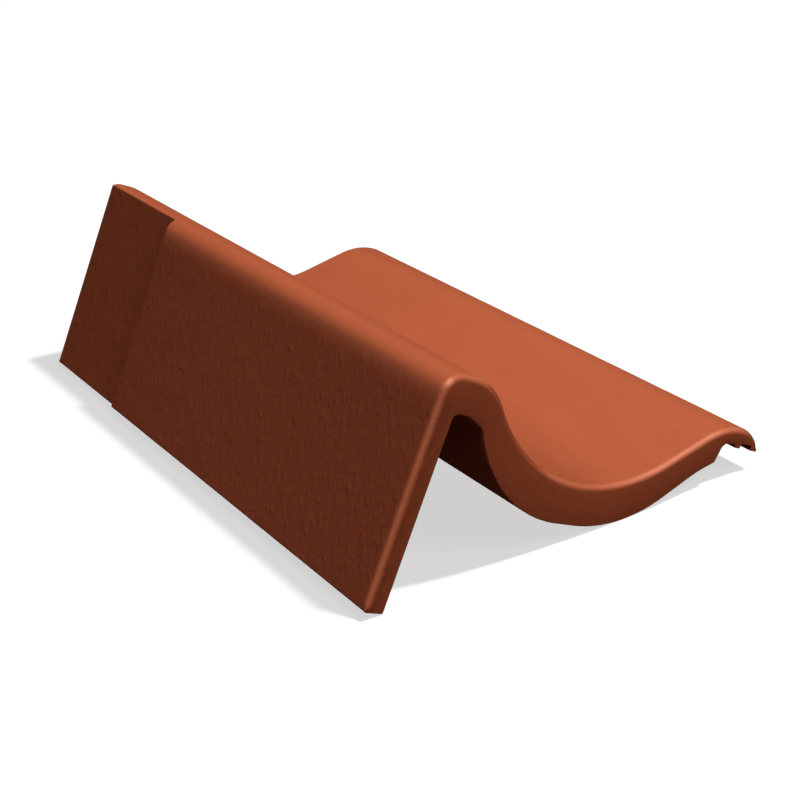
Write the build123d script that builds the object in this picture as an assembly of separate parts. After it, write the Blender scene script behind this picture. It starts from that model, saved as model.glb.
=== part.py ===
from math import asin, atan2, degrees, hypot, radians, sin, tan
import os

from build123d import *

# Left-hand verge tile of a concrete pantile roof, laid down as it rests on a level floor.
# Lengths are in millimetres. The tile is drawn first as it lies on the roof: X runs across
# the slope from the gable inwards, Y runs up the slope from the tail to the head, and Z is up
# from the crest of the first roll.

# Overall sizes
LENGTH = 380.0            # tail to head, along the slope
CREST_SPACING = 214.0     # crest of the verge roll to crest of the cover roll
FLANGE_DEPTH = 127.5      # crest of the verge roll down to the foot of the flange
FLANGE_THICKNESS = 11.7
FLANGE_OUTER = -15.7      # outer face of the flange, measured from the verge crest

# Top surface: two rolls with a trough between them. A flank is the straight part between arcs.
VERGE_OUTER_RADIUS = 10.2
VERGE_INNER_RADIUS = 36.0
VERGE_FLANK = 4.0
TROUGH_X = 101.1              # lowest line of the trough, from the verge crest
TROUGH_DEPTH = 46.0
TROUGH_COVER_RADIUS = 102.6
COVER_FLANK = 30.7
COVER_RISE = 1.1              # cover crest above the verge crest
NOSE_OVERHANG = 18.4          # cover crest out to the free edge
NOSE_DROP = 7.8               # cover crest down to the corner over the free edge
NOSE_FLANK = 3.1
NOSE_RADIUS = 5.0

# Underside: the crown of the verge roll, the belly under the trough and the cover's soffit
CROWN_DEPTH = 20.1            # below the verge crest
CROWN_CORNER = 6.6            # where the level crown would meet its sloping side
CROWN_RADIUS = 12.0
INNER_CORNER_RADIUS = 3.5     # between the crown and the inner face of the flange
CUSP_X = 17.65                # ridge between the crown and the belly
CUSP_DEPTH = 25.2
CUSP_RADIUS = 9.0
BELLY_THICKNESS = 23.4        # trough down to the lowest line of the belly
BELLY_START = 92.7            # level part of the belly, from the verge crest
BELLY_END = 106.0
BELLY_VERGE_FLANK = 6.0
BELLY_COVER_FLANK = 26.3
SOFFIT_WIDTH = 13.5           # lock's shoulder back to where the belly's rise eases off
SOFFIT_DEPTH = 28.4
SOFFIT_SLOPE = 31.5           # from level
SOFFIT_RADIUS = 90.0

# Side lock under the cover roll: a shoulder that stops the edge of the neighbouring tile,
# a groove, a rib, a second groove and the nose. The depths are below the verge crest.
SHOULDER_DRAFT = 1.8          # how far the shoulder falls back towards its foot
SHOULDER_RADIUS = 2.5
INNER_GROOVE_WIDTH = 10.6
INNER_GROOVE_DEPTH = 8.9
INNER_GROOVE_RADIUS = 5.0     # between the shoulder and the inner groove
RIB_WIDTH = 4.7
RIB_DEPTH = 10.7
OUTER_GROOVE_WIDTH = 9.6
OUTER_GROOVE_DEPTH = 8.0
NOSE_WIDTH = 6.0
LOCK_EDGE_RADIUS = 0.8        # edges of the rib and bottoms of the grooves

# Head lap, tail edge and hanging nib
LAP_LENGTH = 90.0             # part of the flange that the next tile up covers
LAP_INSET = 4.1
TAIL_RADIUS = 3.5             # bullnose along the exposed tail edge
NIB_X = 52.0
NIB_WIDTH = 30.0
NIB_LENGTH = 20.0
NIB_DEPTH = 82.0              # foot of the nib, below the verge crest
NIB_DRAFT = 4.0               # fall back of the nib's head side
NIB_FOOT_RADIUS = 3.0


def sweep(width, height, flank):
    """Radius and slope that carry a level line over so wide and so high, flank included.

    The slope is in degrees from level. Where an arc lies at either end of the flank, the
    radius is the two arcs' together.
    """
    radius = (width ** 2 + height ** 2 - flank ** 2) / (2 * height)
    return radius, degrees(atan2(width, radius - height) - atan2(flank, radius))


def setback(radius, slope):
    """How far an arc begins before the corner that it rounds, for a turn of so many degrees."""
    return radius * tan(radians(slope / 2))


# The section as corners and the radius that rounds each: first the top, gable to free edge.
verge_radii, verge_slope = sweep(TROUGH_X, TROUGH_DEPTH, VERGE_FLANK)
cover_radii, cover_slope = sweep(CREST_SPACING - TROUGH_X, TROUGH_DEPTH + COVER_RISE, COVER_FLANK)
nose_arc, nose_slope = sweep(NOSE_OVERHANG, NOSE_DROP, NOSE_FLANK)
trough_radius = verge_radii - VERGE_INNER_RADIUS
cover_radius = cover_radii - TROUGH_COVER_RADIUS
nose_x = CREST_SPACING + NOSE_OVERHANG
top = [
    (FLANGE_OUTER, -FLANGE_DEPTH, 0),
    (FLANGE_OUTER, 0, VERGE_OUTER_RADIUS),
    (setback(VERGE_INNER_RADIUS, verge_slope), 0, VERGE_INNER_RADIUS),
    (TROUGH_X - setback(trough_radius, verge_slope), -TROUGH_DEPTH, trough_radius),
    (TROUGH_X + setback(TROUGH_COVER_RADIUS, cover_slope), -TROUGH_DEPTH, TROUGH_COVER_RADIUS),
    (CREST_SPACING - setback(cover_radius, cover_slope), COVER_RISE, cover_radius),
    (CREST_SPACING + setback(nose_arc, nose_slope), COVER_RISE, nose_arc),
    (nose_x, COVER_RISE - NOSE_DROP, NOSE_RADIUS),
    (nose_x, -RIB_DEPTH, 0),
]

# Then the underside, free edge back to the foot of the flange.
flange_inner = FLANGE_OUTER + FLANGE_THICKNESS
nose_inner_x = nose_x - NOSE_WIDTH
outer_groove_x = nose_inner_x - OUTER_GROOVE_WIDTH
rib_x = outer_groove_x - RIB_WIDTH
shoulder_x = rib_x - INNER_GROOVE_WIDTH
shoulder_foot_x = shoulder_x - SHOULDER_DRAFT
soffit_x = shoulder_x - SOFFIT_WIDTH
soffit_rise = (shoulder_foot_x - soffit_x) * tan(radians(SOFFIT_SLOPE))
belly_depth = TROUGH_DEPTH + BELLY_THICKNESS
belly_verge_radius, belly_verge_slope = sweep(
    BELLY_START - CUSP_X, belly_depth - CUSP_DEPTH, BELLY_VERGE_FLANK)
belly_cover_radius, belly_cover_slope = sweep(
    soffit_x - BELLY_END, belly_depth - SOFFIT_DEPTH, BELLY_COVER_FLANK)
underside = [
    (nose_inner_x, -RIB_DEPTH, LOCK_EDGE_RADIUS),
    (nose_inner_x, -OUTER_GROOVE_DEPTH, LOCK_EDGE_RADIUS),
    (outer_groove_x, -OUTER_GROOVE_DEPTH, LOCK_EDGE_RADIUS),
    (outer_groove_x, -RIB_DEPTH, LOCK_EDGE_RADIUS),
    (rib_x, -RIB_DEPTH, LOCK_EDGE_RADIUS),
    (rib_x, -INNER_GROOVE_DEPTH, LOCK_EDGE_RADIUS),
    (shoulder_x, -INNER_GROOVE_DEPTH, INNER_GROOVE_RADIUS),
    (shoulder_foot_x, soffit_rise - SOFFIT_DEPTH, SHOULDER_RADIUS),
    (soffit_x, -SOFFIT_DEPTH, SOFFIT_RADIUS),
    (BELLY_END + setback(belly_cover_radius, belly_cover_slope), -belly_depth, belly_cover_radius),
    (BELLY_START - setback(belly_verge_radius, belly_verge_slope), -belly_depth, belly_verge_radius),
    (CUSP_X, -CUSP_DEPTH, CUSP_RADIUS),
    (CROWN_CORNER, -CROWN_DEPTH, CROWN_RADIUS),
    (flange_inner, -CROWN_DEPTH, INNER_CORNER_RADIUS),
    (flange_inner, -FLANGE_DEPTH, 0),
]


def rounded_outline(corners):
    """One list of edges for each corner: its tangent arc, then the straight side after it."""
    arcs = []
    for index, (x, z, radius) in enumerate(corners):
        here = Vector(x, z)
        before = (Vector(*corners[index - 1][:2]) - here).normalized()
        after = (Vector(*corners[(index + 1) % len(corners)][:2]) - here).normalized()
        half_angle = radians(before.get_angle(after)) / 2
        back = radius / tan(half_angle)
        middle = (before + after).normalized() * (radius / sin(half_angle) - radius)
        arcs.append((here + before * back, here + middle, here + after * back))
    outline = []
    for index, (start, middle, end) in enumerate(arcs):
        following = arcs[(index + 1) % len(arcs)][0]
        edges = []
        if (start - end).length > 0.001:
            edges.append(ThreePointArc(start, middle, end))
        if (following - end).length > 0.001:
            edges.append(Line(end, following))
        outline.append(edges)
    return outline


# The section stands in the XZ plane and runs up the slope.
outline = rounded_outline(top + underside)
section = make_face([edge for edges in outline for edge in edges])
tile = extrude(Plane.XZ * section, -LENGTH)

# The flange is thinned at the head, where the next tile's flange laps over it.
lap = Pos(FLANGE_OUTER, LENGTH - LAP_LENGTH, 0) * Box(
    2 * LAP_INSET, 2 * LAP_LENGTH, 3 * FLANGE_DEPTH, align=(Align.CENTER, Align.MIN, Align.CENTER))
tile -= lap

# One nib hangs the tile on its batten. Its tail side is upright and its head side falls back.
# Its root goes up into the tile as far as the level of the trough.
nib_side = Polyline(
    [
        (LENGTH - NIB_LENGTH, -TROUGH_DEPTH),
        (LENGTH - NIB_LENGTH, -NIB_DEPTH),
        (LENGTH - NIB_DRAFT, -NIB_DEPTH),
        (LENGTH, -TROUGH_DEPTH),
    ],
    close=True,
)
nib = extrude(Plane.YZ.offset(NIB_X - NIB_WIDTH / 2) * make_face(nib_side), NIB_WIDTH)
nib_foot_sides = nib.edges().filter_by(Axis.Y).group_by(Axis.Z)[0]
tile += fillet(nib_foot_sides, NIB_FOOT_RADIUS)

# The exposed tail edge is bullnosed over the flange, the rolls and the trough.
exposed = [Plane.XZ * edge for edges in outline[:len(top) - 1] for edge in edges]
tail_edges = [
    edge for edge in tile.edges()
    if any((edge.center() - shown.center()).length < 0.01 for shown in exposed)
]
tile = fillet(tail_edges, TAIL_RADIUS)

# At rest the tile leans on the inner edge of the flange's foot and on the rise of its belly.
belly_centre_x = BELLY_END - flange_inner
belly_centre_z = belly_cover_radius - belly_depth + FLANGE_DEPTH
reach = hypot(belly_centre_x, belly_centre_z)
lean = degrees(atan2(belly_centre_z, belly_centre_x) - asin(belly_cover_radius / reach))
tile = Rot(0, lean, 0) * tile
box = tile.bounding_box()
tile = Pos(-box.center().X, -box.center().Y, -box.min.Z) * tile

tile.label = "verge_tile"
tile.color = Color(0.72, 0.36, 0.24)
os.makedirs("parts", exist_ok=True)
export_step(tile, "parts/verge_tile.step")
print("lean", round(lean, 2), "size", [round(v, 2) for v in tile.bounding_box().size])
print("solids", len(tile.solids()), "volume", round(tile.volume / 1000, 1), "cm3", "valid", tile.is_valid)
print("centre of mass", [round(v, 2) for v in tile.center(CenterOf.MASS)])
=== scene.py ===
# %% [markdown]
# # A concrete verge tile
#
# This tile closes the gable edge of a pantiled roof. It is pressed and cast in one piece of
# coloured concrete: a deep flange hangs over the gable wall, a narrow roll turns the corner,
# a trough carries the rain, and a wider roll covers the edge of the next tile. The lesson
# rebuilds it on top of its CAD model, in the same frame, and then gives it the skin that the
# press and the mould leave on real concrete.

import math

import bmesh
import bpy
import numpy as np
from mathutils import Matrix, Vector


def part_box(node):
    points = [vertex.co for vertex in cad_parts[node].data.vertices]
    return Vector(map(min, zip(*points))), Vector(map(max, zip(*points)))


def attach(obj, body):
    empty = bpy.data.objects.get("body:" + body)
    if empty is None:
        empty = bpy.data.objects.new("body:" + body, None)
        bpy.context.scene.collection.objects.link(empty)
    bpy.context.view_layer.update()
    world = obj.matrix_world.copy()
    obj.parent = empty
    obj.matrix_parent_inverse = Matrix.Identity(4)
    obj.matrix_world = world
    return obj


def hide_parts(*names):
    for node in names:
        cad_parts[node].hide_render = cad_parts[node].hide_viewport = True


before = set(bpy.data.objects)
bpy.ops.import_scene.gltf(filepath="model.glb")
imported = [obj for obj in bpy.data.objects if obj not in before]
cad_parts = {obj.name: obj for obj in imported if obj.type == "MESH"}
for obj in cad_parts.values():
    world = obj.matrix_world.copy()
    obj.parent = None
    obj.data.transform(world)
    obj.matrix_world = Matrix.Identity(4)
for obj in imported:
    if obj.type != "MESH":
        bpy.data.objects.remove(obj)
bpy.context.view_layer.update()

# %% [markdown]
# ## The camera
#
# The photograph looks down on the tail end from the left. The camera was solved from the
# tile's own edges, so it stands here as a place, three directions and a focal length. Blender
# cameras look along their own minus Z, so the last direction is turned round.

# %% Set the camera
EYE = (-0.48132, -0.72066, 0.42222)         # metres
RIGHT = (0.81997, -0.57229, -0.01111)
DOWN = (-0.25456, -0.34721, -0.90258)
AHEAD = (0.51268, 0.74292, -0.43038)
FOCAL_IN_FRAMES = 1524.42 / 800             # focal length over the width of the picture
SENSOR = 36.0                               # millimetres
NEAREST, FARTHEST = 0.01, 100.0             # the camera sees what lies between, in metres

camera_data = bpy.data.cameras.new("tail_camera")
camera_data.sensor_fit = "HORIZONTAL"
camera_data.sensor_width = SENSOR
camera_data.lens = SENSOR * FOCAL_IN_FRAMES
camera_data.clip_start = NEAREST
camera_data.clip_end = FARTHEST
camera = bpy.data.objects.new("tail_camera", camera_data)
bpy.context.scene.collection.objects.link(camera)
turn = Matrix([RIGHT, [-value for value in DOWN], [-value for value in AHEAD]]).transposed()
camera.matrix_world = Matrix.Translation(EYE) @ turn.to_4x4()
bpy.context.scene.camera = camera
print("lens", round(camera_data.lens, 2), "mm on a sensor of", SENSOR, "mm")

# %% [markdown]
# ## The section
#
# A press forms the tile by pushing wet concrete between a roller and a shaped pallet, so the
# whole length has one section. It could be drawn as a Bezier curve, but the real moulds are
# cut as straight sides joined by arcs, so the section is a list of corners here, each with the
# radius that rounds it. The sizes are in millimetres, with the roof's own axes: x across the
# slope from the gable, z up from the crest of the first roll.

# %% Sizes of the whole tile
LENGTH = 380.0
CREST_SPACING = 214.0           # crest of the verge roll to crest of the cover roll
FLANGE_DEPTH = 127.5
FLANGE_THICKNESS = 11.7
FLANGE_OUTER = -15.7            # outer face, measured from the verge crest
FOOT_ARRIS = 1.0                # the foot of the flange is only just blunted
print("length over the spacing of the rolls:", round(LENGTH / CREST_SPACING, 2))

# %% Sizes of the top: two rolls with a trough between them
VERGE_OUTER_RADIUS = 10.2
VERGE_INNER_RADIUS = 36.0
VERGE_FLANK = 4.0               # a flank is the straight part between two arcs
TROUGH_X = 101.1                # lowest line of the trough
TROUGH_DEPTH = 46.0
TROUGH_COVER_RADIUS = 102.6
COVER_FLANK = 30.7
COVER_RISE = 1.1                # cover crest above the verge crest
NOSE_OVERHANG = 18.4            # cover crest out to the free edge
NOSE_DROP = 7.8                 # cover crest down to the corner over the free edge
NOSE_FLANK = 3.1
NOSE_RADIUS = 5.0
RIB_DEPTH = 10.7                # the rib of the side lock and the foot of the nose
LOCK_RADIUS = 0.8               # on the edges of the side lock


def sweep(width, height, flank):
    """Radius and slope that carry a level line over so wide and so high, flank included.

    The radius is (width^2 + height^2 - flank^2) / (2 height), both arcs' together where one
    lies at either end of the flank.
    """
    radius = (width ** 2 + height ** 2 - flank ** 2) / (2 * height)
    return radius, math.atan2(width, radius - height) - math.atan2(flank, radius)


def setback(radius, slope):
    """How far an arc begins before the corner that it rounds: radius times tan(slope / 2)."""
    return radius * math.tan(slope / 2)


verge_radii, verge_slope = sweep(TROUGH_X, TROUGH_DEPTH, VERGE_FLANK)
cover_radii, cover_slope = sweep(CREST_SPACING - TROUGH_X, TROUGH_DEPTH + COVER_RISE, COVER_FLANK)
nose_arc, nose_slope = sweep(NOSE_OVERHANG, NOSE_DROP, NOSE_FLANK)
slopes = [round(math.degrees(slope), 1) for slope in (verge_slope, cover_slope, nose_slope)]
print("slopes of the verge roll, the cover roll and the nose:", slopes)

# %% Corners of the top, from the gable to the free edge
trough_radius = verge_radii - VERGE_INNER_RADIUS
cover_radius = cover_radii - TROUGH_COVER_RADIUS
nose_x = CREST_SPACING + NOSE_OVERHANG
top_corners = [
    (FLANGE_OUTER, -FLANGE_DEPTH, FOOT_ARRIS),
    (FLANGE_OUTER, 0, VERGE_OUTER_RADIUS),
    (setback(VERGE_INNER_RADIUS, verge_slope), 0, VERGE_INNER_RADIUS),
    (TROUGH_X - setback(trough_radius, verge_slope), -TROUGH_DEPTH, trough_radius),
    (TROUGH_X + setback(TROUGH_COVER_RADIUS, cover_slope), -TROUGH_DEPTH, TROUGH_COVER_RADIUS),
    (CREST_SPACING - setback(cover_radius, cover_slope), COVER_RISE, cover_radius),
    (CREST_SPACING + setback(nose_arc, nose_slope), COVER_RISE, nose_arc),
    (nose_x, COVER_RISE - NOSE_DROP, NOSE_RADIUS),
    (nose_x, -RIB_DEPTH, LOCK_RADIUS),
]
print("corners on top:", len(top_corners))

# %% Sizes of the side lock: a shoulder, a groove, a rib, a second groove and the nose
SHOULDER_DRAFT, SHOULDER_RADIUS = 1.8, 2.5
INNER_GROOVE_WIDTH, INNER_GROOVE_DEPTH, INNER_GROOVE_RADIUS = 10.6, 8.9, 5.0
RIB_WIDTH = 4.7
OUTER_GROOVE_WIDTH, OUTER_GROOVE_DEPTH = 9.6, 8.0
NOSE_WIDTH = 6.0

nose_inner = nose_x - NOSE_WIDTH
outer_groove = nose_inner - OUTER_GROOVE_WIDTH
rib = outer_groove - RIB_WIDTH
shoulder = rib - INNER_GROOVE_WIDTH
print("the lock's shoulder stands at", round(shoulder, 1), "mm")

# %% Sizes of the underside: the cover's soffit, the belly and the crown of the verge roll
SOFFIT_WIDTH, SOFFIT_DEPTH, SOFFIT_RADIUS = 13.5, 28.4, 90.0
SOFFIT_SLOPE = math.radians(31.5)
BELLY_THICKNESS = 23.4
BELLY_START, BELLY_END = 92.7, 106.0        # the level part of the belly
BELLY_VERGE_FLANK, BELLY_COVER_FLANK = 6.0, 26.3
CUSP_X, CUSP_DEPTH, CUSP_RADIUS = 17.65, 25.2, 9.0      # the ridge between crown and belly
CROWN_CORNER, CROWN_DEPTH, CROWN_RADIUS = 6.6, 20.1, 12.0
INNER_CORNER_RADIUS = 3.5

flange_inner = FLANGE_OUTER + FLANGE_THICKNESS
soffit = shoulder - SOFFIT_WIDTH
soffit_rise = (shoulder - SHOULDER_DRAFT - soffit) * math.tan(SOFFIT_SLOPE)
belly_depth = TROUGH_DEPTH + BELLY_THICKNESS
belly_verge_radius, belly_verge_slope = sweep(
    BELLY_START - CUSP_X, belly_depth - CUSP_DEPTH, BELLY_VERGE_FLANK)
belly_cover_radius, belly_cover_slope = sweep(
    soffit - BELLY_END, belly_depth - SOFFIT_DEPTH, BELLY_COVER_FLANK)
print("belly radii:", round(belly_verge_radius, 1), "and", round(belly_cover_radius, 1), "mm")

# %% Corners of the underside, from the free edge back to the foot of the flange
underside_corners = [
    (nose_inner, -RIB_DEPTH, LOCK_RADIUS),
    (nose_inner, -OUTER_GROOVE_DEPTH, LOCK_RADIUS),
    (outer_groove, -OUTER_GROOVE_DEPTH, LOCK_RADIUS),
    (outer_groove, -RIB_DEPTH, LOCK_RADIUS),
    (rib, -RIB_DEPTH, LOCK_RADIUS),
    (rib, -INNER_GROOVE_DEPTH, LOCK_RADIUS),
    (shoulder, -INNER_GROOVE_DEPTH, INNER_GROOVE_RADIUS),
    (shoulder - SHOULDER_DRAFT, soffit_rise - SOFFIT_DEPTH, SHOULDER_RADIUS),
    (soffit, -SOFFIT_DEPTH, SOFFIT_RADIUS),
    (BELLY_END + setback(belly_cover_radius, belly_cover_slope), -belly_depth, belly_cover_radius),
    (BELLY_START - setback(belly_verge_radius, belly_verge_slope), -belly_depth,
     belly_verge_radius),
    (CUSP_X, -CUSP_DEPTH, CUSP_RADIUS),
    (CROWN_CORNER, -CROWN_DEPTH, CROWN_RADIUS),
    (flange_inner, -CROWN_DEPTH, INNER_CORNER_RADIUS),
    (flange_inner, -FLANGE_DEPTH, FOOT_ARRIS),
]
print("corners underneath:", len(underside_corners))

# %% [markdown]
# ## From corners to a line of stations
#
# Each corner is left where a circle of its radius touches the side before it, the circle is
# followed, and the next side is joined where the circle touches that. Every station keeps its
# outward direction as well, because the bullnose at the tail is made later by moving the
# stations inwards along it.

# %% Round the corners
STATION_STEP = 2.0              # longest distance between two stations
ARC_STEP = math.radians(15)     # and the largest turn between them
FEWEST_STEPS = 2                # on an arc


def round_off(corners):
    """Carry a point round the closed line and give its places and outward directions.

    A corner that turns by a takes radius * tan(a / 2) off both its sides. On the arc the
    place is the circle's centre plus or minus the radius times the outward direction.
    """
    corner = np.array(corners)
    places, directions = [], []
    sides = np.roll(corner[:, :2], -1, axis=0) - corner[:, :2]
    lengths = np.linalg.norm(sides, axis=1)
    headings = np.unwrap(np.arctan2(sides[:, 1], sides[:, 0]))
    turns = (headings - np.roll(headings, 1) + math.pi) % (2 * math.pi) - math.pi
    backs = corner[:, 2] * np.tan(np.abs(turns) / 2)
    for index, (x, z, radius) in enumerate(corner):
        start = headings[index - 1]
        count = max(FEWEST_STEPS, math.ceil(abs(turns[index]) / ARC_STEP),
                    math.ceil(radius * abs(turns[index]) / STATION_STEP))
        angles = start + turns[index] * np.linspace(0, 1, count + 1)
        outward = np.stack([-np.sin(angles), np.cos(angles)], axis=1)
        side = math.copysign(radius, turns[index])
        first = np.array([x, z]) - backs[index] * np.array([math.cos(start), math.sin(start)])
        places.append(first + side * outward[0] - side * outward)
        directions.append(outward)
        free = lengths[index] - backs[index] - backs[(index + 1) % len(corner)]
        count = max(1, math.ceil(free / STATION_STEP))
        along = np.linspace(0, free, count + 1)[1:-1, None]
        heading = np.array([[math.cos(headings[index]), math.sin(headings[index])]])
        places.append(places[-1][-1] + along * heading)
        directions.append(np.repeat(outward[-1:], len(along), axis=0))
    return np.concatenate(places), np.concatenate(directions)


ring, outward = round_off(top_corners + underside_corners)
station = np.concatenate([[0], np.cumsum(np.linalg.norm(np.diff(ring, axis=0), axis=1))])
print(len(ring), "stations round a section of", round(float(station[-1])), "mm")

# %% [markdown]
# ## Extra stations for the lap and the nib
#
# The thinned head of the flange ends in a step, and a nib under the belly hangs the tile on
# its batten. Both need an edge exactly where they begin, so stations are put in there. At the
# sides of the nib two stations share one place: one stays on the belly and the other goes down
# to the nib's foot.

# %% Find the places of the extra stations
LAP_INSET = 4.1
NIB_X, NIB_WIDTH, NIB_FOOT, NIB_ROUND = 52.0, 30.0, -82.0, 3.0
BELLY_SIDE = (20, 92)           # the nib's part of the belly lies between these
ROLL_SIDE = (-5, -10)           # the roll's outer quarter lies left of this x, above this z
ROUNDING_TURNS = [0, 30, 60, 90]            # degrees, on the nib's rounded sides

nib_left, nib_right = NIB_X - NIB_WIDTH / 2, NIB_X + NIB_WIDTH / 2
lap_limit = FLANGE_OUTER + LAP_INSET


def between(keep, xs):
    """Station lengths at which the kept part of the section passes the given x."""
    order = np.argsort(ring[keep, 0])
    return np.interp(xs, ring[keep, 0][order], station[keep][order])


on_belly = (ring[:, 0] > BELLY_SIDE[0]) & (ring[:, 0] < BELLY_SIDE[1])
on_belly = on_belly & (ring[:, 1] < -CUSP_DEPTH) & (outward[:, 1] < 0)
on_verge_arc = (ring[:, 0] < ROLL_SIDE[0]) & (ring[:, 1] > ROLL_SIDE[1]) & (outward[:, 1] > 0)
rounding = NIB_ROUND * (1 - np.cos(np.radians(ROUNDING_TURNS)))
nib_x = np.concatenate([[nib_right], nib_right - rounding, nib_left + rounding[::-1], [nib_left]])
extra = np.concatenate([between(on_verge_arc, [lap_limit]), between(on_belly, nib_x)])
print("extra stations:", len(extra))

# %% Put the extra stations in
on_nib = (on_belly & (ring[:, 0] > nib_left) & (ring[:, 0] < nib_right)).astype(float)
extra_on_nib = np.concatenate([[0, 0], np.ones(len(nib_x) - 2), [0]])
columns = np.stack([ring[:, 0], ring[:, 1], outward[:, 0], outward[:, 1]], axis=1)
added = np.stack([np.interp(extra, station, columns[:, axis]) for axis in range(4)], axis=1)
order = np.argsort(np.concatenate([station, extra]), kind="stable")
columns = np.concatenate([columns, added])[order]
station = np.concatenate([station, extra])[order]
on_nib = np.concatenate([on_nib, extra_on_nib])[order] > 0.5
X, Z, OUT_X, OUT_Z = columns.T
print(len(X), "stations with the lap and the nib,", int(on_nib.sum()), "of them on the nib")

# %% [markdown]
# ## Rows up the slope
#
# Every row is the section again, at a distance from the tail. Near the tail the exposed edge
# is a bullnose: the row moves inwards by the part of a quarter circle that is still missing.
# The underside and the head only have the small arris that the mould leaves. The head of the
# flange is cut back by holding x to a limit, and the nib is the belly held down to a level.

# %% Plan the bullnose
BULLNOSE = 3.5
ARRIS = 0.6
BULLNOSE_FADE = 2.5             # over this length of the section the bullnose eases in
TOUCH = 1e-6                    # two places nearer than this are the same
SIDEWAYS = 0.999                # facing straight out to the side


def rise(value, start, end):
    """Smooth step from 0 at start to 1 at end: 3 v^2 - 2 v^3, where v runs from 0 to 1."""
    part = np.clip((value - start) / (end - start), 0, 1)
    return part * part * (3 - 2 * part)


outer_face = np.flatnonzero((np.abs(X - FLANGE_OUTER) < TOUCH) & (OUT_X < -SIDEWAYS))
nose_face = np.flatnonzero((np.abs(X - nose_x) < TOUCH) & (OUT_X > SIDEWAYS))
top_start, top_end = station[outer_face[0]], station[nose_face[-1]]
from_ends = np.minimum(station - top_start, top_end - station)
tail_radius = ARRIS + (BULLNOSE - ARRIS) * rise(from_ends, 0, BULLNOSE_FADE)
quarter = np.linspace(0, math.pi / 2, 9)
print("bullnose of", BULLNOSE, "mm from", round(float(top_start)), "to", round(float(top_end)),
      "mm round the section")

# %% Plan the nib
NIB_LENGTH, NIB_DRAFT = 20.0, 4.0
NIB_START, NIB_FALL = LENGTH - NIB_LENGTH, LENGTH - NIB_DRAFT

from_side = np.clip(NIB_ROUND - np.minimum(X - nib_left, nib_right - X), 0, None)
nib_level = NIB_FOOT + NIB_ROUND - np.sqrt(np.clip(NIB_ROUND ** 2 - from_side ** 2, 0, None))
nib_slope = (-TROUGH_DEPTH - NIB_FOOT) / (LENGTH - NIB_FALL)
nib_reach = np.clip(NIB_FALL + (Z - NIB_FOOT) / nib_slope, NIB_FALL, LENGTH - ARRIS)
near_nib = (X > nib_left - TOUCH) & (X < nib_right + TOUCH) & (OUT_Z < 0)
print("the nib's head side falls back", round(nib_slope, 1), "mm down for each mm")

# %% Lay the rows out
LAP_LENGTH = 90.0
LAP_START = LENGTH - LAP_LENGTH
ROW_STEP = 2.3
PLAIN_START = 8                 # plain rows begin here
STEP_MARGIN, NIB_MARGIN = 2, 1  # and keep this clear of the lap's step and of the nib
FREE = -99.0                    # a limit that holds nothing back
NIB_ROWS, DRAFT_ROWS = 7, 5
rows = []                       # distance from the tail, inset, limit of x, nib on or off


def add_row(distance, inset=0.0, limit=FREE, nib=False):
    """Keep one row: each value is spread over all the stations."""
    rows.append((np.broadcast_to(distance, X.shape), np.broadcast_to(inset, X.shape), limit, nib))


for angle in quarter:
    add_row(tail_radius * (1 - math.cos(angle)), tail_radius * (1 - math.sin(angle)))
for part in (0.33, 0.66):
    add_row(tail_radius + (PLAIN_START - tail_radius) * part)
for distance in np.arange(PLAIN_START, LAP_START - STEP_MARGIN, ROW_STEP):
    add_row(distance)
for angle in quarter[::4]:
    add_row(LAP_START - ARRIS * (1 - math.sin(angle)), 0,
            FLANGE_OUTER + ARRIS * (1 - math.cos(angle)))
for angle in quarter[::4]:
    add_row(LAP_START + ARRIS * (1 - math.cos(angle)), 0, lap_limit - ARRIS * (1 - math.sin(angle)))
for distance in np.arange(LAP_START + STEP_MARGIN, NIB_START - NIB_MARGIN, ROW_STEP):
    add_row(distance, 0, lap_limit)
add_row(NIB_START, 0, lap_limit)
for distance in np.linspace(NIB_START, NIB_FALL, NIB_ROWS):
    add_row(distance, 0, lap_limit, True)
for part in np.linspace(1 / DRAFT_ROWS, 1, DRAFT_ROWS):
    level = NIB_FALL + (LENGTH - ARRIS - NIB_FALL) * part
    add_row(np.where(near_nib, NIB_FALL + (nib_reach - NIB_FALL) * part, level), 0, lap_limit, True)
for angle in quarter[::2]:
    inset = ARRIS * (1 - math.cos(angle))
    add_row(LENGTH - ARRIS * (1 - math.sin(angle)), inset, lap_limit + inset)
print(len(rows), "rows")

# %% [markdown]
# ## One closed skin
#
# The rows and stations are a grid of two parameters, so the whole skin is worked out at once
# as arrays. The two ends are single flat faces. The roof's axes are then turned by the angle
# at which the tile comes to rest on a level floor: the inner edge of the flange's foot touches
# in one line, and the rise of the belly in another.

# %% Work out the grid
FACING_IN = 0.5                 # stations that face further inwards than this have no limit

distance = np.stack([row[0] for row in rows])
inset = np.stack([row[1] for row in rows])
limit = np.array([row[2] for row in rows])[:, None]
with_nib = np.array([row[3] for row in rows])[:, None] & on_nib
grid_x = np.maximum(X - OUT_X * inset, np.where(OUT_X < FACING_IN, limit, FREE))
grid_z = Z - OUT_Z * inset
fallen = np.maximum(nib_level, NIB_FOOT + np.clip(distance - NIB_FALL, 0, None) * nib_slope)
grid_z = np.where(with_nib, np.minimum(grid_z, fallen), grid_z)
print("the grid has", grid_x.shape[0], "by", grid_x.shape[1], "places")

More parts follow.
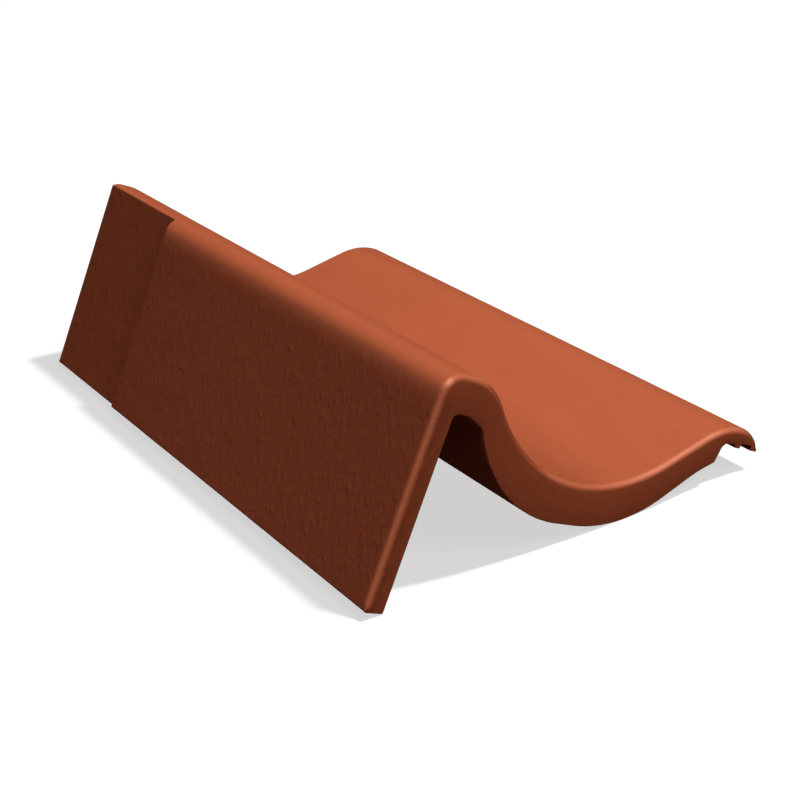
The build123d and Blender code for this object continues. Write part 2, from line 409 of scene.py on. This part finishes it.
# %% Lay the grid down as the tile rests
reach_x = BELLY_END - flange_inner
reach_z = belly_cover_radius - belly_depth + FLANGE_DEPTH
lean = math.atan2(reach_z, reach_x) - math.asin(belly_cover_radius / math.hypot(reach_x, reach_z))
rest_x = grid_x * math.cos(lean) + grid_z * math.sin(lean)
rest_z = grid_z * math.cos(lean) - grid_x * math.sin(lean)
low, high = (np.array(corner) * 1000 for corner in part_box("verge_tile"))
shift = (high[0] - rest_x.max(), low[1], low[2] - rest_z.min())
skin = np.stack([rest_x + shift[0], distance + shift[1], rest_z + shift[2]], axis=2) / 1000
print("lean", round(math.degrees(lean), 2), "degrees, moved by",
      [round(float(value), 2) for value in shift])

# %% Join the skin
SAME_POINT, NO_EDGE = 2e-6, 1e-6            # metres
MOST_SIDES = 4                              # faces with more sides are cut into triangles

up, across = skin.shape[:2]
index = np.arange(across * up).reshape(up, across)
following = np.roll(index, -1, axis=1)
quads = np.stack([index[:-1], following[:-1], following[1:], index[1:]], axis=2).reshape(-1, 4)
mesh = bpy.data.meshes.new("concrete_verge_tile")
mesh.from_pydata(skin.reshape(-1, 3).tolist(), [],
                 quads.tolist() + [index[0, ::-1].tolist(), index[-1].tolist()])

shell = bmesh.new()
shell.from_mesh(mesh)
bmesh.ops.remove_doubles(shell, verts=shell.verts, dist=SAME_POINT)
bmesh.ops.dissolve_degenerate(shell, edges=shell.edges, dist=NO_EDGE)
bmesh.ops.triangulate(shell, faces=[face for face in shell.faces if len(face.verts) > MOST_SIDES])
bmesh.ops.recalc_face_normals(shell, faces=shell.faces)
open_edges = sum(1 for edge in shell.edges if not edge.is_manifold)
print("volume", round(shell.calc_volume(signed=True) * 1e6, 1), "cm3, open edges", open_edges)
shell.to_mesh(mesh)
shell.free()

# %% [markdown]
# ## The unevenness of cast concrete
#
# A pressed tile is never quite true: the wet concrete springs back a little when it leaves the
# press. A few dozen long waves in all directions, each under a tenth of a millimetre high,
# move the skin along its own normals. Being a function of the place alone, they can't open a
# seam.

# %% Describe the unevenness
WAVES = 48
SHORTEST, LONGEST = 0.012, 0.060            # lengths of the waves, in metres
SWELL = 0.00005                             # height of the unevenness, in metres
TRUE_END, UNEVEN_FROM = 0.003, 0.013        # the ends of the tile stay true
random = np.random.default_rng(7)


def unevenness(places):
    """Sum of sine waves in random directions, each as high as its share of all the lengths."""
    directions = random.normal(size=(WAVES, 3))
    directions /= np.linalg.norm(directions, axis=1)[:, None]
    lengths = SHORTEST * (LONGEST / SHORTEST) ** random.random(WAVES)
    phases = random.random(WAVES) * 2 * math.pi
    heights = lengths / lengths.sum()
    waves = np.sin(places @ (directions * (2 * math.pi / lengths)[:, None]).T + phases)
    return waves @ heights * math.sqrt(WAVES) / 2


# %% Press the unevenness in
count = len(mesh.vertices)
places = np.empty(count * 3)
mesh.vertices.foreach_get("co", places)
places = places.reshape(-1, 3)
normals = np.empty(count * 3)
mesh.vertex_normals.foreach_get("vector", normals)
normals = normals.reshape(-1, 3)
away = np.minimum(places[:, 1] - places[:, 1].min(), places[:, 1].max() - places[:, 1])
moved = unevenness(places) * SWELL * rise(away, TRUE_END, UNEVEN_FROM)
mesh.vertices.foreach_set("co", (places + normals * moved[:, None]).ravel())
print("unevenness", round(float(moved.min()) * 1000, 3), "to",
      round(float(moved.max()) * 1000, 3), "mm")

# %% [markdown]
# ## What the press does to each place, and the painted light and shade
#
# Five values go with the skin, one number to a point, for the finish to read. The outer face
# of the flange comes off an oiled pallet, so it has a coarse relief; it is darker partly for
# its finish and partly by painted shade on a face turned from the lamps. The recess that the
# next tile laps over gets painted shade, and a painted shadow beside the step. The end faces
# are a mark of their own, for their painted shade and tint. The shade is painted light: the
# top is paler towards the tail and darker towards the head, and darker in the trough, on the
# crests and on the free side of the cover roll. The last value says where tiles knock
# together and rub the exposed edge pale and smooth, and it also paints a highlight on the
# bullnose.

# %% Where a point lies on the section, and which way it faces
def keep_on_skin(name, values):
    """Store one number to each point of the skin."""
    mesh.attributes.new(name, "FLOAT", "POINT").data.foreach_set("value", values.astype(np.float32))
    print(name, "runs from", round(float(values.min()), 2), "to", round(float(values.max()), 2))


roof_x = normals[:, 0] * math.cos(lean) - normals[:, 2] * math.sin(lean)
roof_z = normals[:, 0] * math.sin(lean) + normals[:, 2] * math.cos(lean)
moved_x, moved_z = places[:, 0] * 1000 - shift[0], places[:, 2] * 1000 - shift[2]
place_x = moved_x * math.cos(lean) - moved_z * math.sin(lean)
place_z = moved_x * math.sin(lean) + moved_z * math.cos(lean)
from_tail = places[:, 1] * 1000 - shift[1]
facing_end = np.abs(normals[:, 1])
leftward = np.degrees(np.arctan2(-roof_x, roof_z))      # 0 is up, 90 is out over the gable
print("tilt of the section runs from", round(float(leftward.min())), "to",
      round(float(leftward.max())), "degrees")


def bump(value, middle, width):
    """Bell curve: exp(-((value - middle) / width)^2)."""
    return np.exp(-((value - middle) / width) ** 2)


# %% Find the bullnose, the foot and the recess of the lap
TAIL_ROUND = BULLNOSE * 1.6     # the bullnose's own points and the next row's
BARE_FOOT, FULL_MARK = 2, 6     # between these heights over the foot the paler edge and its painted highlight fade in
BAND_MIDDLE, BAND_WIDTH = 1.2, 1.5          # the painted highlight along the flange's tail edge
PAST_STEP, PAST_FACE = 0.3, 1   # a point of the recess lies past the step, near its face
END_FACING = (0.6, 0.95)        # how squarely a point of an end face looks along the tile

on_tail_round = from_tail < TAIL_ROUND
in_recess = (from_tail > LAP_START + PAST_STEP) & (place_x < lap_limit + PAST_FACE)
above_foot = rise(place_z + FLANGE_DEPTH, BARE_FOOT, FULL_MARK)
tail_band = bump(from_tail, BAND_MIDDLE, BAND_WIDTH) * above_foot
end_face = rise(facing_end, *END_FACING)
keep_on_skin("end_face", end_face)

# %% Mark the pallet face and the lap, both darkened with painted shade
OUTER_TILT = 20                 # degrees: past this a point faces out over the gable
UNDER_TILT = (110, 150)         # and between these it turns to face down
MARK_TOP, MARK_FADE = 7, 6.8    # the darkening fades in below the roll
OUTER_X = lap_limit + 0.5       # the outer face lies left of this
UPRIGHT = (0.6, 0.9)            # in the recess only upright faces are marked
# Painted shade in the recess of the lap, with the step's shadow painted beside it.
STEP_SHADE_MIDDLE, STEP_SHADE_WIDTH = LAP_START + 8, 16
LAP_SHADE_PLAIN, LAP_SHADE_AT_STEP = 0.35, 0.5            # painted shade on the whole recess, and a painted shadow beside the step

faces_out = leftward > OUTER_TILT
below_roll = np.clip(-place_z - MARK_TOP, 0, None)
outside = (place_x < OUTER_X) * faces_out * (1 - rise(leftward, *UNDER_TILT))
# Painted shade: the flange's face is darker, partly for its oiled finish and partly as shade on a
# face turned from the lamps.
pallet_and_shade = (1 - bump(below_roll, 0, MARK_FADE)) * outside * (1 - tail_band)
pallet_and_shade = np.where(in_recess & faces_out, rise(-roof_x, *UPRIGHT), pallet_and_shade)
keep_on_skin("pallet_face_and_shade", pallet_and_shade)
beside_step = bump(from_tail, STEP_SHADE_MIDDLE, STEP_SHADE_WIDTH)
keep_on_skin("lap_painted_shade", pallet_and_shade * in_recess * (LAP_SHADE_PLAIN + LAP_SHADE_AT_STEP * beside_step))

# %% Paint light and shade on the top: paler at the tail, darker in the trough, on the crests and the free side
TAIL_PALE, HEAD_DARK = 1.085, 0.914
TROUGH_MIDDLE = 96
TOP_SHADE = [                        # painted shade: place across the slope, width and darkness
    (TROUGH_MIDDLE, 44, 0.26),
    (2, 14, 0.14),
    (CREST_SPACING, 14, 0.10),
]
LEVEL_ENOUGH = 0.3              # the painted shade lies on faces that look up by this much
CREST_SHADE, CREST_SHADE_REACH = 0.045, 90      # painted shade on the crests, and how far up from the tail it reaches
TROUGH_REACH = 60
# Painted shade on the free side of the cover roll.
FREE_SIDE_SHADE, FREE_SIDE_TILT = 0.5, 10
HEAD_EDGE_SHADE, HEAD_REACH = 0.2, 1.0            # painted shade along the arris of the head

# Painted light: the top is paler towards the tail and darker towards the head.
tail_to_head_light = np.interp(from_tail, [0, LENGTH], [TAIL_PALE, HEAD_DARK])
top_shade = sum(darkness * bump(place_x, middle, width) for middle, width, darkness in TOP_SHADE)
off_trough = 1 - bump(place_x, TROUGH_MIDDLE, TROUGH_REACH)
crest_shade_near_tail = CREST_SHADE * bump(from_tail, 0, CREST_SHADE_REACH) * off_trough
free_side_shade = FREE_SIDE_SHADE * rise(-leftward, 0, FREE_SIDE_TILT) * (place_x > CREST_SPACING)
head_edge_shade = HEAD_EDGE_SHADE * bump(from_tail, LENGTH, HEAD_REACH)
top_painted_shade = tail_to_head_light * (1 - top_shade * rise(roof_z, 0, LEVEL_ENOUGH))
top_painted_shade *= (1 - free_side_shade) * (1 - head_edge_shade) * (1 - crest_shade_near_tail)
print("the top's shade runs from", round(float(top_painted_shade.min()), 2), "to",
      round(float(top_painted_shade.max()), 2))

# %% Mark the shade of the edges, the underside and the ends
UNDERSIDE_SHADE, END_SHADE = 0.85, 0.935
INNER_EDGE_SHADE, LOCK_ARRIS_SHADE, NOSE_RIM_SHADE = 0.45, 0.55, 0.5       # shares of painted shade taken off
INNER_TILT, NOSE_TILT = (12, 27), (10, 25)              # degrees towards the free edge
LOOKING_DOWN = (0.1, 0.4)
RIM_FACING = (0.85, 1)
ARRIS_REACH, LOCK_X, LOCK_TOP = 1.5, shoulder - 4, -6.5     # the lock's arris at the tail

halfway = 4 * facing_end ** 2 * np.clip(1 - facing_end ** 2, 0, 1)
on_round = np.where(on_tail_round, halfway, 0)          # 1 halfway round the bullnose
inner_side = rise(-leftward, *INNER_TILT) * (place_x > 0) * (place_x < TROUGH_X)
underneath = rise(-roof_z, *LOOKING_DOWN) * (1 - end_face)
lower_arris = (from_tail < ARRIS_REACH) & (place_x > LOCK_X) & (place_z < LOCK_TOP)
nose_side = rise(-leftward, *NOSE_TILT) * (place_x > CREST_SPACING)
nose_rim = (1 - rise(facing_end, *RIM_FACING)) * nose_side

# Painted shade: on the verge roll's inner bullnose, on the underside, on the lock's lower arris at
# the tail, on the end faces and on the rim of the nose.
shade = top_painted_shade * (1 - INNER_EDGE_SHADE * on_round * inner_side)
shade = shade * (1 - underneath) + UNDERSIDE_SHADE * underneath
shade *= 1 - LOCK_ARRIS_SHADE * lower_arris
end_shade = END_SHADE * (1 - NOSE_RIM_SHADE * nose_rim * on_tail_round)
keep_on_skin("shade", shade * (1 - end_face) + end_shade * end_face)

# %% Mark the rubbed edge and its painted highlight
EVERYWHERE = 0.21               # every part of the edge gets a little of the paler colour
VERGE_HIGHLIGHT = (57, 16, 0.79)    # tilt, width and strength of the painted highlight on the verge roll
COVER_HIGHLIGHT = (33, 16, 0.45)    # and on the cover roll
FLANGE_TILT, FLANGE_X = 70, -8  # the flange's face is steeper and further left than these
AWAY_FROM_LAMPS = (-25, -10)          # a tilt away from the lamps gets no paler colour

wear_and_highlight_share = EVERYWHERE + (
    VERGE_HIGHLIGHT[2] * bump(leftward, *VERGE_HIGHLIGHT[:2]) * (place_x < 0)
    + COVER_HIGHLIGHT[2] * bump(leftward, *COVER_HIGHLIGHT[:2]) * (place_x > TROUGH_X))
flange_band = tail_band * (leftward > FLANGE_TILT) * (place_x < FLANGE_X) * (1 - end_face)
wear_and_painted_highlight = np.maximum(on_round, flange_band)
keep_on_skin("wear_and_painted_highlight", wear_and_painted_highlight * wear_and_highlight_share * rise(leftward, *AWAY_FROM_LAMPS) * above_foot)

# %% Put the tile in the scene
CREASE = math.radians(34)       # edges that turn more than this stay sharp

mesh.polygons.foreach_set("use_smooth", np.ones(len(mesh.polygons), dtype=bool))
mesh.set_sharp_from_angle(angle=CREASE)
mesh.update()
tile = bpy.data.objects.new("concrete_verge_tile", mesh)
bpy.context.scene.collection.objects.link(tile)
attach(tile, "root")
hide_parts("verge_tile")
triangles = sum(len(face.vertices) - 2 for face in mesh.polygons)
print("tile:", triangles, "triangles")

# %% [markdown]
# ## Through-coloured concrete
#
# The colour is iron oxide mixed into the whole batch, so it isn't a coat: it only drifts a
# little from place to place, and every grain is slightly different. An image could be wrapped
# round the tile, but noise in the object's own space has no seams and no end. All patterns
# read Object coordinates, turned back by the tile's lean, so that the press marks on the
# flange run with the tile and not with the floor.

# %% Helpers for the node tree
def shader_nodes(material):
    """Clear a material's nodes and give a short way to add one and join two sockets."""
    material.use_nodes = True
    tree = material.node_tree
    tree.nodes.clear()

    def add(kind, **settings):
        node = tree.nodes.new(kind)
        for name, value in settings.items():
            setattr(node, name, value)
        return node

    return tree, add, tree.links.new


def ramp(add, stops):
    """A colour ramp from (position, grey or colour) stops."""
    node = add("ShaderNodeValToRGB")
    while len(node.color_ramp.elements) < len(stops):
        node.color_ramp.elements.new(0.5)
    for element, (position, colour) in zip(node.color_ramp.elements, stops):
        element.position = position
        element.color = (*colour, 1) if isinstance(colour, tuple) else (colour, colour, colour, 1)
    return node


# %% Place and marks on the concrete
concrete = bpy.data.materials.new("terracotta_concrete_skin")
tree, add, link = shader_nodes(concrete)
place = add("ShaderNodeTexCoord")
untilt = add("ShaderNodeMapping")
untilt.inputs["Rotation"].default_value = (0, -lean, 0)
link(place.outputs["Object"], untilt.inputs["Vector"])


def noise(scale, detail=2.0, rough=0.5, distortion=0.0, stretch=(1, 1, 1)):
    """Fractal noise on the tile's own axes, so many lumps to the metre."""
    spread = add("ShaderNodeMapping")
    spread.inputs["Scale"].default_value = stretch
    link(untilt.outputs["Vector"], spread.inputs["Vector"])
    node = add("ShaderNodeTexNoise")
    node.inputs["Scale"].default_value = scale
    node.inputs["Detail"].default_value = detail
    node.inputs["Roughness"].default_value = rough
    node.inputs["Distortion"].default_value = distortion
    link(spread.outputs["Vector"], node.inputs["Vector"])
    return node.outputs["Fac"]


def on_skin(name):
    """Read one of the numbers that go with the skin."""
    return add("ShaderNodeAttribute", attribute_name=name).outputs["Fac"]


def times(value, factor):
    """Multiply a value by a plain number, in the node tree at hand."""
    node = add("ShaderNodeMath", operation="MULTIPLY")
    link(value, node.inputs[0])
    node.inputs[1].default_value = factor
    return node.outputs["Value"]


def blend(share, under, over, way="MIX"):
    """Lay one colour over another by a share from 0 to 1."""
    node = add("ShaderNodeMix", data_type="RGBA", blend_type=way)
    for socket, value in (("Factor", share), ("A", under), ("B", over)):
        if isinstance(value, (float, tuple)):
            node.inputs[socket].default_value = value
        else:
            link(value, node.inputs[socket])
    return node.outputs["Result"]


print("the patterns are turned back by", round(math.degrees(lean), 2), "degrees")

# %% The colour of the batch
DARK_RED, PALE_RED = (0.522, 0.1245, 0.0528), (0.562, 0.1340, 0.0572)
PATCHES, PATCH_STRETCH = 45, (1, 0.35, 1)   # to the metre, drawn out up the slope
GRAINS = 700                                # to the metre

drift = ramp(add, [(0.3, DARK_RED), (0.7, PALE_RED)])
link(noise(PATCHES, 4, 0.6, 0.0, PATCH_STRETCH), drift.inputs["Fac"])
grains = ramp(add, [(0.25, 0.93), (0.5, 1.0), (0.8, 1.05)])
link(noise(GRAINS, 3, 0.6), grains.inputs["Fac"])
colour = blend(1.0, drift.outputs["Color"], grains.outputs["Color"], "MULTIPLY")
print("nodes for the batch:", len(tree.nodes))

# %% [markdown]
# ## The marks over the batch
#
# The painted shade, the pallet face (partly its finish, partly painted shade) and the tint of
# the ends multiply the red of the batch, while the lap's painted shade and the rubbed edge
# with its painted highlight cover a share of it. An Attribute node reads each number from the
# skin, so a mark keeps its place on the tile from whatever side the tile is seen.

# %% Lay the marks over the colour
# The pallet face's tint: partly its darker finish, partly painted shade.
PALLET_AND_SHADE_TINT = (0.515, 0.482, 0.49, 1)
# Painted shade tints the end faces.
END_SHADE_TINT = (1.02, 0.92, 0.86, 1)
# Paler colour of the rubbed edge, which also paints the highlight on the bullnose.
WEAR_AND_HIGHLIGHT_ORANGE = (0.95, 0.30, 0.16, 1)
BLACK = (0, 0, 0, 1)
LAP_SHADE_BLACK = 0.19                             # share of black for the recess's painted shade

colour = blend(1.0, colour, on_skin("shade"), "MULTIPLY")
colour = blend(on_skin("pallet_face_and_shade"), colour, PALLET_AND_SHADE_TINT, "MULTIPLY")
colour = blend(on_skin("end_face"), colour, END_SHADE_TINT, "MULTIPLY")
colour = blend(times(on_skin("lap_painted_shade"), LAP_SHADE_BLACK), colour, BLACK)
colour = blend(on_skin("wear_and_painted_highlight"), colour, WEAR_AND_HIGHLIGHT_ORANGE)
print("nodes with the marks:", len(tree.nodes))

# %% [markdown]
# ## Relief and finish
#
# The oiled pallet leaves small upright wrinkles in the face of the flange, and the whole tile
# has the fine lumps of its sand. Both are too fine for the mesh, so two Bump nodes tilt the
# light instead, one after the other. The finish is matt: only the rubbed edge is smooth enough
# to catch the lamps in an orange gloss, over its paler colour that also paints a highlight.

# %% The relief
WRINKLES, LUMPS = 280, 300                  # to the metre
WRINKLE_STRETCH = (1, 1, 0.5)
WRINKLE_HEIGHT, LUMP_HEIGHT = 0.00036, 0.0002           # metres

ridges = ramp(add, [(0.43, 0.0), (0.75, 1.0)])
ridges.color_ramp.interpolation = "EASE"
link(noise(WRINKLES, 1.0, 0.5, 0.6, WRINKLE_STRETCH), ridges.inputs["Fac"])
lumps = noise(LUMPS, 2, 0.5)
coarse = add("ShaderNodeBump")
coarse.inputs["Distance"].default_value = WRINKLE_HEIGHT
link(on_skin("pallet_face_and_shade"), coarse.inputs["Strength"])
link(ridges.outputs["Color"], coarse.inputs["Height"])
fine = add("ShaderNodeBump")
fine.inputs["Strength"].default_value = 1.0
fine.inputs["Distance"].default_value = LUMP_HEIGHT
link(lumps, fine.inputs["Height"])
link(coarse.outputs["Normal"], fine.inputs["Normal"])
print("nodes with the relief:", len(tree.nodes))

# %% The finish
ORANGE_GLINT = (1.0, 0.6, 0.4, 1.0)
MATT, SMOOTHED = 0.75, 0.37                 # roughness where the edge is unrubbed and rubbed
RUB_STARTS, RUB_ENDS = 0.25, 0.75

surface = add("ShaderNodeBsdfPrincipled")
surface.inputs["Specular Tint"].default_value = ORANGE_GLINT
roughness = add("ShaderNodeMapRange")
for socket, value in (("From Min", RUB_STARTS), ("From Max", RUB_ENDS),
                      ("To Min", MATT), ("To Max", SMOOTHED)):
    roughness.inputs[socket].default_value = value
link(on_skin("wear_and_painted_highlight"), roughness.inputs["Value"])
link(roughness.outputs["Result"], surface.inputs["Roughness"])
link(on_skin("wear_and_painted_highlight"), surface.inputs["Specular IOR Level"])
link(colour, surface.inputs["Base Color"])
link(fine.outputs["Normal"], surface.inputs["Normal"])
output = add("ShaderNodeOutputMaterial")
link(surface.outputs["BSDF"], output.inputs["Surface"])
mesh.materials.append(concrete)
print("nodes in the concrete:", len(tree.nodes))

# %% [markdown]
# ## The floor
#
# The photograph has a white floor that runs out of the picture. White paper would also throw
# a strong light up under the tile, which the photograph lacks. The Light Path node tells the
# rays of the camera and of reflections from all the others, so the paper is white to the eye
# and dark grey to the light that bounces, and a faint glow lifts it to pure white.

# %% The floor
HALF_FLOOR = 6                  # metres
PAPER_TO_LIGHT, PAPER_TO_EYE = 0.065, 0.995
PAPER_GLOW = 0.08
WHITE = (1, 1, 1, 1)

floor_mesh = bpy.data.meshes.new("studio_floor")
floor_corners = [(-1, -1), (1, -1), (1, 1), (-1, 1)]
floor_mesh.from_pydata([(x * HALF_FLOOR, y * HALF_FLOOR, 0) for x, y in floor_corners],
                       [], [(0, 1, 2, 3)])
floor = bpy.data.objects.new("studio_floor", floor_mesh)
bpy.context.scene.collection.objects.link(floor)
print("floor of", 2 * HALF_FLOOR, "by", 2 * HALF_FLOOR, "metres")


# %% White paper
def seen_directly(add, link):
    """1 for rays from the camera, in reflections and through glass, and 0 for all others."""
    path = add("ShaderNodeLightPath")
    either = add("ShaderNodeMath", operation="MAXIMUM")
    link(path.outputs["Is Camera Ray"], either.inputs[0])
    link(path.outputs["Is Glossy Ray"], either.inputs[1])
    every = add("ShaderNodeMath", operation="MAXIMUM")
    link(either.outputs["Value"], every.inputs[0])
    link(path.outputs["Is Transmission Ray"], every.inputs[1])
    return every.outputs["Value"]


paper = bpy.data.materials.new("white_paper_floor")
tree, add, link = shader_nodes(paper)
matt = add("ShaderNodeBsdfDiffuse")
glow = add("ShaderNodeEmission")
glow.inputs["Color"].default_value = WHITE
seen = seen_directly(add, link)
grey = ramp(add, [(0.0, PAPER_TO_LIGHT), (1.0, PAPER_TO_EYE)])
link(seen, grey.inputs["Fac"])
link(grey.outputs["Color"], matt.inputs["Color"])
link(times(seen, PAPER_GLOW), glow.inputs["Strength"])
both = add("ShaderNodeAddShader")
link(matt.outputs["BSDF"], both.inputs[0])
link(glow.outputs["Emission"], both.inputs[1])
output = add("ShaderNodeOutputMaterial")
link(both.outputs["Shader"], output.inputs["Surface"])
floor_mesh.materials.append(paper)
print("nodes in the paper:", len(tree.nodes))

# %% [markdown]
# ## The light
#
# The first lamp stands above and to the right, square to the trough, so the flange only gets
# what the others send. A soft lamp overhead lights what the first one leaves, and a weak one
# fills in from the front. The photograph has only one faint shadow, so the overhead lamp is
# there twice, by light linking: once for the tile alone, so that the tile still shades its own
# underside, and once for the floor alone, where it casts no shadow.

# %% The lamps
def lamp(name, strength, softness, towards, shadow=True, lit=None):
    """A far lamp: its light comes from the given direction, over so many degrees of sky.

    At strength 1 it lights a white face that is square to it just to white. A lamp shines
    along its own minus Z, so its Z axis points to where the light comes from. With lit, the
    light reaches that one object alone.
    """
    data = bpy.data.lights.new(name, "SUN")
    data.energy = strength * math.pi
    data.use_shadow = shadow
    data.angle = math.radians(softness)
    towards = np.array(towards) / np.linalg.norm(towards)
    side = np.cross([0, 1, 0], towards)
    side /= np.linalg.norm(side)
    holder = bpy.data.objects.new(name, data)
    holder.matrix_world = Matrix([side, np.cross(towards, side), towards]).transposed().to_4x4()
    bpy.context.scene.collection.objects.link(holder)
    if lit:
        holder.light_linking.receiver_collection = bpy.data.collections.new(name + "_receivers")
        holder.light_linking.receiver_collection.objects.link(lit)
    print(name, "at strength", strength, "over", softness, "degrees")


OVERHEAD = (-0.22, -0.20, 0.955)
CEILING, WIDE = 0.57, 25
lamp("right_hand_lamp", 0.41, 3.5, (0.48, -0.17, 0.875))
lamp("ceiling_light", CEILING, WIDE, OVERHEAD, lit=tile)
lamp("ceiling_light_on_floor", CEILING, WIDE, OVERHEAD, shadow=False, lit=floor)
lamp("front_fill", 0.057, WIDE, (0.20, -0.55, 0.81))

# %% The sky
SKY_LIGHT, SKY_SEEN = 0.01, 1.0             # what it gives and how bright it looks

world = bpy.data.worlds.new("studio_sky")
bpy.context.scene.world = world
tree, add, link = shader_nodes(world)
dim = add("ShaderNodeBackground")
bright = add("ShaderNodeBackground")
for background, strength in ((dim, SKY_LIGHT), (bright, SKY_SEEN)):
    background.inputs["Color"].default_value = WHITE
    background.inputs["Strength"].default_value = strength
choose = add("ShaderNodeMixShader")
link(seen_directly(add, link), choose.inputs["Fac"])
link(dim.outputs["Background"], choose.inputs[1])
link(bright.outputs["Background"], choose.inputs[2])
output = add("ShaderNodeOutputWorld")
link(choose.outputs["Shader"], output.inputs["Surface"])
bpy.context.scene.view_settings.view_transform = "Standard"
print("sky: gives", SKY_LIGHT, "and looks", SKY_SEEN)
